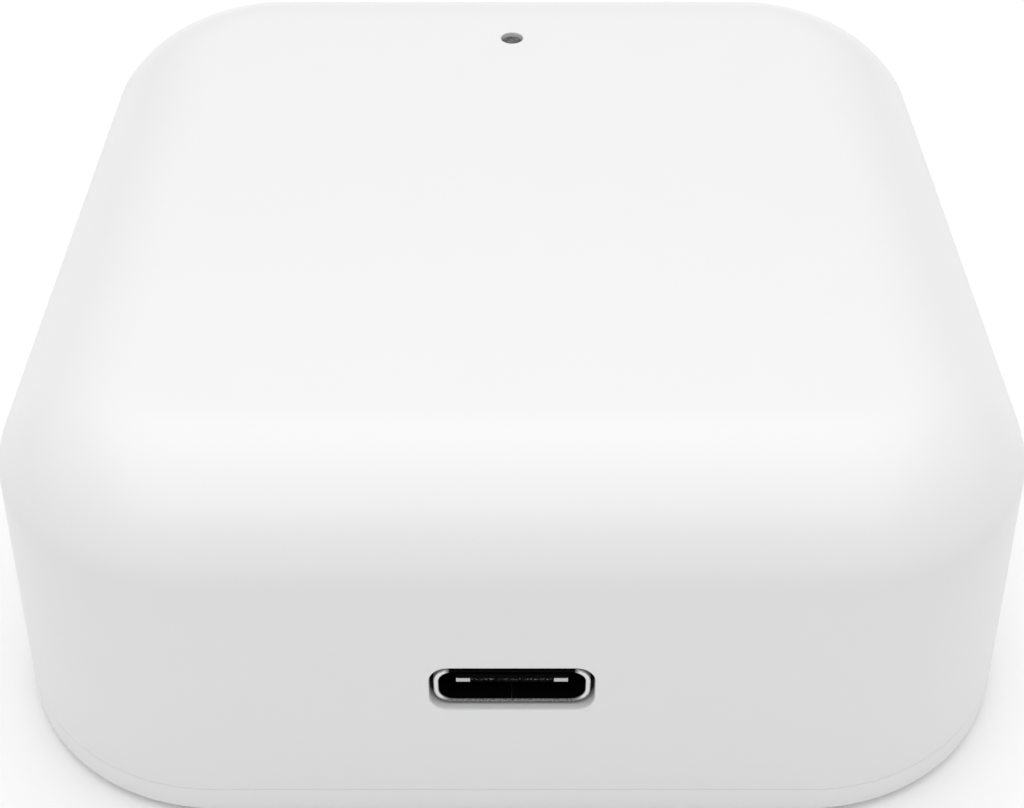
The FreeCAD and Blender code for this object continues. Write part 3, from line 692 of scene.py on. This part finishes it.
def build_socket_mesh():
    """Folded steel shell: the sheet's section carried round a rounded rectangle, open at the butt
    joint below, and joined with its four legs."""
    s = sizes()
    gap, half, taper = s.joint_gap / 2, s.leg_width / 2, s.leg_width * 0.3
    arcs, headings = corner_arcs(SHELL_WIDTH, SHELL_HEIGHT, s.shell_corner, -90, 18)
    path = np.concatenate([[[gap, -SHELL_HEIGHT / 2]], arcs, [[-gap, -SHELL_HEIGHT / 2]]])
    outward = np.concatenate([[[0, -1]], headings, [[0, -1]]])
    section = sheet_section()
    flat = path[:, None, :] - section[None, :, 0, None] * outward[:, None, :]
    y = np.broadcast_to(section[None, :, 1, None], flat.shape[:2] + (1,))
    work = Patchwork()
    numbers = work.add(np.concatenate([flat[..., :1], y, flat[..., 1:] + PORT_LEVEL], axis=-1))
    work.quads(numbers, closed=True)
    work.polygon(numbers[0])
    work.polygon(numbers[-1])
    middles = ((SHELL_LOW.y + SHELL_HIGH.y) / 2 - s.leg_inset, SHELL_HIGH.y - s.leg_inset)
    steps = [(-half, PORT_LEVEL), (-half, SHELL_LOW.z + taper), (-half + taper, SHELL_LOW.z),
             (half - taper, SHELL_LOW.z), (half, SHELL_LOW.z + taper), (half, PORT_LEVEL)]
    legs = [([(side * SHELL_WIDTH / 2, middle + step, z) for step, z in steps], (-side * s.sheet, 0, 0))
            for side in (-1, 1) for middle in middles]
    return joined(work.mesh("socket_tube"), prisms(legs))


class GATEWAY_OT_socket(Operator):
    """Socket: the folded steel shell, and finishes for its moulding, plate and contacts"""

    bl_idname = "gateway.socket"
    bl_label = "Socket"

    def execute(self, context):
        show("socket_sleeve", build_socket_mesh(), socket_steel(), ["socket_shell"])
        finish_nodes(socket_plastic(), "socket_insulator")
        finish_nodes(middle_steel(), "socket_middle_plate")
        finish_nodes(contact_gold(), "socket_upper_contacts", "socket_lower_contacts")
        return {"FINISHED"}


class Field:
    """A socket whose value varies over a surface. Sums and products of fields add maths nodes."""

    def __init__(self, finish, socket):
        self.finish = finish
        self.socket = socket

    def __add__(self, other):
        return self.finish.maths("ADD", self, other)

    def __sub__(self, other):
        return self.finish.maths("SUBTRACT", self, other)

    def __rsub__(self, other):
        return self.finish.maths("SUBTRACT", other, self)

    def __mul__(self, other):
        return self.finish.maths("MULTIPLY", self, other)

    def __gt__(self, other):
        return self.finish.maths("GREATER_THAN", self, other)

    def __lt__(self, other):
        return self.finish.maths("LESS_THAN", self, other)

    __radd__ = __add__
    __rmul__ = __mul__


class Finish:
    """The nodes of a material or a world: one shader, whose varying inputs are built from fields."""

    def __init__(self, owner, output="ShaderNodeOutputMaterial", shader="ShaderNodeBsdfPrincipled"):
        owner.use_nodes = True
        self.owner = owner
        self.tree = owner.node_tree
        self.tree.nodes.clear()
        self.shader = self.tree.nodes.new(shader)
        self.tree.links.new(self.shader.outputs[0], self.tree.nodes.new(output).inputs[0])

    def node(self, kind, settings=None, values=None, output=0):
        """Add a node: its settings first, then the numbers or links of its sockets."""
        made = self.tree.nodes.new(kind)
        for name, value in (settings or {}).items():
            if name == "stops":
                self.set_stops(made.color_ramp, value)
            else:
                setattr(made, name, value)
        for key, value in (values or {}).items():
            self.put(made.inputs[key], value)
        return Field(self, made.outputs[output])

    def set_stops(self, ramp, stops):
        while len(ramp.elements) < len(stops):
            ramp.elements.new(1.0)
        for element, (place, grey) in zip(ramp.elements, stops):
            element.position = place
            element.color = (grey, grey, grey, 1.0)

    def put(self, socket, value):
        """Link a field to a socket, or set it to a number or a colour."""
        if isinstance(value, Field):
            self.tree.links.new(value.socket, socket)
        elif socket.type == "RGBA" and len(value) == 3:
            socket.default_value = (*value, 1.0)
        else:
            socket.default_value = value

    def maths(self, operation, *values):
        """One maths node, on numbers or fields."""
        return self.node("ShaderNodeMath", {"operation": operation}, dict(enumerate(values)))

    def place(self):
        """Object coordinates."""
        return self.node("ShaderNodeTexCoord", output=3)

    def axes(self):
        """The three object coordinates as fields."""
        place = self.place()
        return [self.node("ShaderNodeSeparateXYZ", values={0: place}, output=axis) for axis in range(3)]

    def noise(self, size, detail=3.0, roughness=0.5):
        """Noise from 0 to 1 whose grains are about one size across, in metres."""
        return self.node("ShaderNodeTexNoise", values={
            "Vector": self.place(), "Scale": 1.0 / size, "Detail": detail, "Roughness": roughness})

    def streaks(self, squeeze, scale, detail=2.0):
        """Noise that is squeezed along each axis by its factor."""
        place = self.node("ShaderNodeMapping", values={0: self.place(), 3: squeeze})
        return self.node("ShaderNodeTexNoise", values={"Vector": place, "Scale": scale, "Detail": detail})

    def ramp(self, value, *stops):
        """Grey level read off straight lines between (place, grey level) stops."""
        return self.node("ShaderNodeValToRGB", {"stops": stops}, {0: value})

    def blend(self, factor, low, high):
        """Colour that goes from low to high with the factor."""
        return self.node("ShaderNodeMix", {"data_type": "RGBA"}, {0: factor, 6: low, 7: high}, output=2)

    def near(self, value, limit):
        """1 where the size of a value is under a limit, else 0."""
        return self.maths("ABSOLUTE", value) < limit

    def beyond(self, value, limit):
        """How far the size of a value lies past a limit, else 0."""
        return self.maths("MAXIMUM", self.maths("ABSOLUTE", value) - limit, 0.0)

    def spread(self, across, along):
        """Distance from the point where both fields are 0."""
        return self.maths("SQRT", across * across + along * along)

    def seen(self, *rays):
        """1 on rays of the given kinds, else 0."""
        path = self.tree.nodes.new("ShaderNodeLightPath")
        kinds = [Field(self, path.outputs[f"Is {ray} Ray"]) for ray in rays]
        return self.maths("MINIMUM", sum(kinds[1:], kinds[0]), 1.0)

    def bump(self, height, depth, strength=1.0):
        """Normal of a relief whose height field is depth metres deep."""
        return self.node("ShaderNodeBump", values={"Height": height, "Distance": depth, "Strength": strength})

    def surface(self, **inputs):
        """Set the shader's inputs, named with underscores for spaces, and return the owner."""
        for name, value in inputs.items():
            self.put(self.shader.inputs[name.replace("_", " ")], value)
        return self.owner


def finish(name):
    """The nodes of a new material."""
    return Finish(bpy.data.materials.new(name))


def mottled(name, pattern, low, high, roughness, change, relief=0.0, metallic=0.0):
    """A finish that follows one pattern: its colour goes from low to high, its roughness rises by the
    change, and its relief is as deep as given."""
    f = finish(name)
    field = pattern(f)
    if relief:
        f.surface(Normal=f.bump(field, relief))
    return f.surface(Base_Color=f.blend(field, low, high), Metallic=metallic,
                     Roughness=roughness + change * field)


def case_plastic():
    """White moulded plastic with a fine spark-eroded grain, and painted shade down in the slot that
    grows with the depth behind the wall's face."""
    if "white_moulding" in bpy.data.materials:
        return bpy.data.materials["white_moulding"]
    f = finish("white_moulding")
    s = sizes()
    grain = f.noise(0.16 * MM, 2.0)
    tone = f.blend(f.noise(5.0 * MM, 2.0), tint("case", 0.995), tint("case", 1.005))
    x, y, z = f.axes()
    level = z - PORT_LEVEL
    margin = 0.05 * MM
    slot = f.near(x, SHELL_WIDTH / 2 + s.slot_side_gap + margin)
    slot = slot * f.near(level, SHELL_HEIGHT / 2 + s.slot_top_gap + margin)
    face = corner_centre()[1] + reach(0.0, PORT_LEVEL)
    depth = y - level * slope() + face
    # Painted shade: the slot's walls darken with the depth behind the wall's face, standing in for the shadow
    # in the gap beside the socket.
    slot_shade = f.ramp(depth * (1.0 / MM), (0.1, 0.0), (0.3, 0.08), (0.8, 0.35), (1.0, 0.85))
    painted_slot_shade = slot * slot_shade * (depth < 1.1 * s.wall)
    return f.surface(Base_Color=f.blend(painted_slot_shade, tone, tint("case", 0.02)), Roughness=0.28 + 0.1 * grain,
                     IOR=1.52, Normal=f.bump(grain, 0.004 * MM, 0.6))


def foot_rubber():
    """Soft rubber with a fine matte grain and a little dust."""
    f = finish("foot_rubber")
    grain = f.noise(0.12 * MM, 3.0)
    dust = f.ramp(f.noise(1.5 * MM, 4.0), (0.5, 0.0), (0.8, 1.0))
    return f.surface(Base_Color=f.blend(dust * 0.4, tint("foot"), tint("foot", 1.7)),
                     Roughness=0.8 + 0.15 * grain, Normal=f.bump(grain, 0.01 * MM))


def socket_steel():
    """Nickel-plated sheet: steel colour at the mouth's sides, painted shade below, where it is also
    pitted, and painted black shade along its upper edge, in its butt joint and down inside the tube."""
    f = finish("socket_steel")
    s = sizes()
    x, y, z = f.axes()
    level = z - PORT_LEVEL
    past_x = f.beyond(x, SHELL_WIDTH / 2 - s.shell_corner)
    past_z = f.beyond(level, SHELL_HEIGHT / 2 - s.shell_corner)
    # Painted black shade: down inside the tube, in the butt joint and along the mouth's upper edge.
    core = f.spread(past_x, past_z) < s.shell_corner - s.sheet * 0.6
    deep = f.ramp((y - SHELL_LOW.y) * (1.0 / MM), (0.02, 0.0), (0.12, 1.0))
    tube = f.maths("MAXIMUM", core, f.near(x, s.joint_gap)) * deep
    upper = (level > 0.5 * MM) * f.ramp(past_x * (1.0 / MM), (0.25, 1.0), (0.55, 0.0))
    inside = f.maths("MAXIMUM", tube, upper)
    drawn = f.noise(0.08 * MM, 2.0)
    pits = f.ramp(f.noise(0.12 * MM, 3.0), (0.4, 0.0), (0.62, 1.0))
    # Painted shade: below the middle the mouth is darker than at its sides, mottled by pits; plated carries
    # both the steel colour and this shade.
    under = f.ramp(level * (-0.5 / MM), (0.5, 0.0), (0.66, 1.0))
    plated = f.blend(under, tint("steel"), f.blend(pits, tint("steel", 0.2), tint("steel", 0.42)))
    return f.surface(Base_Color=f.blend(inside, plated, DEEP_SHADE), Metallic=1.0 - inside, IOR=1.05,
                     Roughness=0.24 + 0.12 * drawn + 0.3 * inside, Normal=f.bump(drawn, 0.002 * MM))


def middle_steel():
    """Plain steel of the latch plate, with brushed lines along it."""
    return mottled("middle_steel", lambda f: f.streaks((20.0, 1.0, 20.0), 2000.0),
                   tint("steel", 0.8), tint("steel"), 0.3, 0.15, metallic=1.0)


def socket_plastic():
    """Black glass-filled moulding, with a row of painted glints along the tongue's front face."""
    f = finish("socket_plastic")
    x, y, z = f.axes()
    # Painted glints: grey specks in a row on the tongue's front face stand in for light caught by the
    # contacts' ends.
    row = f.near(z - PORT_LEVEL + 0.12 * MM, 0.07 * MM) * f.near(x, 2.3 * MM) * (y < TONGUE_FRONT + 0.02 * MM)
    painted_glints = row * f.ramp(f.noise(0.07 * MM, 2.0), (0.5, 0.0), (0.66, 1.0))
    speck = f.noise(0.05 * MM, 3.0)
    body = f.blend(speck, tint("black_plastic_and_shade"), tint("black_plastic_and_shade", 1.6))
    return f.surface(Base_Color=f.blend(painted_glints, body, (0.2, 0.2, 0.2)), Roughness=0.7 + 0.2 * speck,
                     Specular_IOR_Level=0.02, Normal=f.bump(speck, 0.004 * MM))


def contact_gold():
    """Gold-plated contacts with rolling lines along them. Their ends by the mouth are bare steel on the
    wide ones and get a painted dark shade on the narrow ones."""
    f = finish("contact_gold")
    lines = f.streaks((8.0, 1.0, 8.0), 3000.0)
    x, y, z = f.axes()
    # Painted shade on the ends of the narrow contacts in the middle; the wide ones keep bare steel.
    end_bare_or_shaded = f.blend(f.near(x, 2.2 * MM), tint("steel"), tint("steel", 0.01))
    tip = y < TONGUE_FRONT + 0.12 * MM
    gold = f.blend(lines, tint("contact", 0.85), tint("contact"))
    return f.surface(Base_Color=f.blend(tip, gold, end_bare_or_shaded), Metallic=1.0,
                     Roughness=0.22 + 0.15 * lines + 0.3 * tip)


def light_pipe():
    """Smoke-tinted acrylic with faint turning rings on its end."""
    f = finish("pipe_clear")
    x, y, z = f.axes()
    ring_pitch = 0.09 * MM
    rings = f.maths("SINE", f.spread(x, y - PIPE_PLACE[1]) * (2 * math.pi / ring_pitch))
    cloud = f.noise(0.3 * MM, 4.0)
    swirl = f.ramp(f.noise(0.2 * MM, 1.0), (0.42, 0.0), (0.6, 1.0))
    return f.surface(Base_Color=f.blend(swirl, tint("pipe", 0.6), tint("pipe", 1.7)), IOR=1.49,
                     Roughness=0.25 + 0.15 * cloud, Normal=f.bump(rings, 0.004 * MM))


def screw_steel():
    """Zinc-plated steel with a faint brushed turn."""
    return mottled("screw_steel", lambda f: f.noise(0.1 * MM, 4.0), tint("steel", 0.75),
                   tint("steel", 0.95), 0.3, 0.2, 0.004 * MM, metallic=1.0)


def laminate(name, mask_colour, pitch):
    """Solder mask over glass cloth. Copper tracks show through as a lighter shade: straight lines
    along X in some cells and along Y in the others."""
    f = finish(name)
    x, y, z = f.axes()
    cells = f.node("ShaderNodeTexVoronoi", {"distance": "CHEBYCHEV"},
                   {"Vector": f.place(), "Scale": 1 / (6 * MM)}, output=1)
    turned = f.node("ShaderNodeSeparateColor", values={0: cells}) > 0.5
    along, across = [f.maths("FRACT", axis * (1.0 / pitch)) < 0.45 for axis in (x, y)]
    lines = along * turned + across * (1.0 - turned)
    weave = f.noise(0.3 * MM, 2.0)
    return f.surface(Base_Color=f.blend(lines, mask_colour, shade(mask_colour, 2.2)), Coat_Weight=0.3,
                     Roughness=0.28 + 0.12 * weave, Normal=f.bump(lines, 0.03 * MM))


def tinned_can():
    """Tinned sheet with soft smears."""
    f = finish("can_tin")
    smear = f.noise(1.2 * MM, 4.0, 0.6)
    return f.surface(Base_Color=f.blend(smear, tint("tin", 0.85), tint("tin")), Metallic=1.0,
                     Roughness=0.28 + 0.25 * smear, Normal=f.bump(f.noise(0.1 * MM, 2.0), 0.003 * MM))


def moulded_chip():
    """Black moulding compound with a fine matte grain."""
    return mottled("chip_black", lambda f: f.noise(0.06 * MM, 3.0), tint("chip"), tint("chip", 1.8),
                   0.6, 0.2, 0.006 * MM)


def drawn_aluminium():
    """Bare drawn aluminium with fine upright lines."""
    return mottled("capacitor_aluminium", lambda f: f.streaks((10.0, 10.0, 0.5), 800.0, 3.0),
                   (0.62, 0.62, 0.63), (0.8, 0.8, 0.81), 0.25, 0.15, metallic=1.0)


def speckled(name, low, high, roughness, grain_size):
    """Fired or pressed powder body with fine grains of two shades."""
    return mottled(name, lambda f: f.noise(grain_size, 4.0, 0.6), low, high, roughness, 0.15, 0.008 * MM)


def end_capped(name, node, body):
    """Chip parts: a body between two tinned end caps, told apart by how far they lie along Y."""
    f = finish(name)
    low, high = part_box(node)
    x, y, z = f.axes()
    end = f.maths("ABSOLUTE", y - (low.y + high.y) / 2) > (high.y - low.y) / 2 * 0.68
    grain = f.noise(0.08 * MM, 3.0)
    return f.surface(Base_Color=f.blend(end, body, tint("tin")), Metallic=end * 0.9,
                     Roughness=0.35 + 0.15 * grain)


def finish_nodes(material, *nodes):
    """Give CAD nodes a finish through their objects' material slots."""
    for node in nodes:
        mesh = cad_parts[node].data
        mesh.materials.clear()
        mesh.materials.append(material)


class GATEWAY_OT_board(Operator):
    """Circuit board: finishes for the board, its screws, the modules and the supply parts"""

    bl_idname = "gateway.board"
    bl_label = "Board and parts"

    def execute(self, context):
        dark, light = (0.015, 0.015, 0.016), (0.03, 0.03, 0.032)
        powder, powder_light = (0.09, 0.09, 0.095), (0.16, 0.16, 0.165)
        for material, *nodes in (
                (laminate("board_laminate", tint("mask"), 0.5 * MM), "main_board"),
                (laminate("module_laminate", tint("module"), 0.35 * MM),
                 "wifi_module_board", "bluetooth_module_board"),
                (screw_steel(), "cover_screws", "board_screws"),
                (tinned_can(), "wifi_shield_can", "bluetooth_shield_can"),
                (moulded_chip(), "wifi_chip", "bluetooth_chip", "voltage_regulator", "surge_diode"),
                (drawn_aluminium(), "capacitor_can"),
                (speckled("base_plastic", dark, light, 0.5, 0.08 * MM), "capacitor_base"),
                (speckled("inductor_grey", powder, powder_light, 0.6, 0.12 * MM), "power_inductor")):
            finish_nodes(material, *nodes)
        for name, node, body in (("ceramic_tan", "ceramic_capacitors", (0.36, 0.24, 0.13)),
                                 ("resistor_black", "chip_resistors", (0.02, 0.02, 0.022))):
            finish_nodes(end_capped(name, node, body), node)
        return {"FINISHED"}


class GATEWAY_OT_indicator(Operator):
    """Indicator: finishes for the light pipe and the diode under it"""

    bl_idname = "gateway.indicator"
    bl_label = "Indicator"

    def execute(self, context):
        finish_nodes(light_pipe(), "light_pipe")
        resin = speckled("led_body", (0.78, 0.74, 0.60), (0.86, 0.84, 0.72), 0.3, 0.2 * MM)
        finish_nodes(resin, "status_led")
        return {"FINISHED"}


def add_floor(tone):
    """White floor. Lamps and the object see it at its tone. To the camera it is lit white near the
    object, where it holds the shadow, and plain white farther off."""
    span = 3.0
    near, far = 0.12, 0.3
    mesh = bpy.data.meshes.new("floor")
    corners = [(-span, -span, 0), (span, -span, 0), (span, span, 0), (-span, span, 0)]
    mesh.from_pydata(corners, [], [(0, 1, 2, 3)])
    link("floor", mesh)
    f = finish("floor")
    seen = f.seen("Camera", "Glossy", "Transmission")
    x, y, z = f.axes()
    plain = seen * f.ramp(f.spread(x, y), (near, 0.0), (far, 1.0))
    lit = f.blend(plain, f.blend(seen, (tone, tone, tone), WHITE), BLACK)
    mesh.materials.append(f.surface(Base_Color=lit, Emission_Color=f.blend(plain, BLACK, WHITE),
                                    Emission_Strength=1.0, Roughness=0.9, IOR=1.0))


def add_sky(level):
    """Even light from all round, which the camera sees as white."""
    world = bpy.data.worlds.new("studio")
    bpy.context.scene.world = world
    f = Finish(world, "ShaderNodeOutputWorld", "ShaderNodeBackground")
    f.surface(Color=f.blend(f.seen("Camera", "Transmission"), (level, level, level), WHITE))


def add_lamp(name, place, size, watts):
    """Square soft box that faces the middle of the case."""
    lamp = bpy.data.lights.new(name, "AREA")
    lamp.shape = "SQUARE"
    lamp.size = size
    lamp.energy = watts
    thing = link(name, lamp)
    thing.location = place
    middle = Vector((0.0, 0.0, HOUSING_HIGH.z / 2))
    thing.rotation_euler = (middle - Vector(place)).to_track_quat("-Z", "Y").to_euler()


class GATEWAY_OT_stage(Operator):
    """Stage: white floor, light from all round, a soft box overhead and the camera"""

    bl_idname = "gateway.stage"
    bl_label = "Stage"

    def execute(self, context):
        studio = context.scene.gateway_studio
        add_floor(studio.floor_tone)
        add_sky(studio.sky)
        rear_place = (0.0, studio.rear_reach, studio.rear_height)
        add_lamp("wide_box", (0.0, 0.0, studio.wide_height), studio.wide_size, studio.wide_power)
        add_lamp("rear_box", rear_place, studio.rear_size, studio.rear_power)
        camera = bpy.data.cameras.new("camera")
        camera.sensor_width = 36.0
        camera.lens = studio.lens
        camera.clip_start = 0.005
        thing = link("camera", camera)
        thing.location = (0.0, -studio.camera_back, studio.camera_height)
        thing.rotation_euler = (math.pi / 2 - studio.camera_pitch, 0.0, 0.0)
        context.scene.camera = thing
        context.scene.view_settings.view_transform = "Standard"
        return {"FINISHED"}


class GATEWAY_PT_sidebar(Panel):
    """Lists the gateway's builders."""

    bl_idname = "GATEWAY_PT_sidebar"
    bl_label = "Gateway"
    bl_space_type = "VIEW_3D"
    bl_region_type = "UI"
    bl_category = "Gateway"

    def draw(self, context):
        for operator in BUILDERS:
            self.layout.operator(operator.bl_idname)
        for settings in SETTINGS:
            group = getattr(context.scene, settings)
            box = self.layout.box()
            for name in group.bl_rna.properties.keys():
                if name not in ("rna_type", "name"):
                    box.prop(group, name)


BUILDERS = (GATEWAY_OT_housing, GATEWAY_OT_cover, GATEWAY_OT_feet, GATEWAY_OT_socket, GATEWAY_OT_indicator,
            GATEWAY_OT_board, GATEWAY_OT_stage)
SETTINGS = {"gateway_sizes": GatewaySizes, "gateway_colours": GatewayColours, "gateway_studio": GatewayStudio}
CLASSES = (*SETTINGS.values(), *BUILDERS, GATEWAY_PT_sidebar)


def register():
    for one in CLASSES:
        bpy.utils.register_class(one)
    for name, group in SETTINGS.items():
        setattr(bpy.types.Scene, name, PointerProperty(type=group))


def unregister():
    for name in SETTINGS:
        delattr(bpy.types.Scene, name)
    for one in reversed(CLASSES):
        bpy.utils.unregister_class(one)


def main():
    """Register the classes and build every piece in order."""
    register()
    bpy.ops.gateway.housing()
    bpy.ops.gateway.cover()
    bpy.ops.gateway.feet()
    bpy.ops.gateway.socket()
    bpy.ops.gateway.indicator()
    bpy.ops.gateway.board()
    bpy.ops.gateway.stage()


if __name__ == "__main__":
    main()
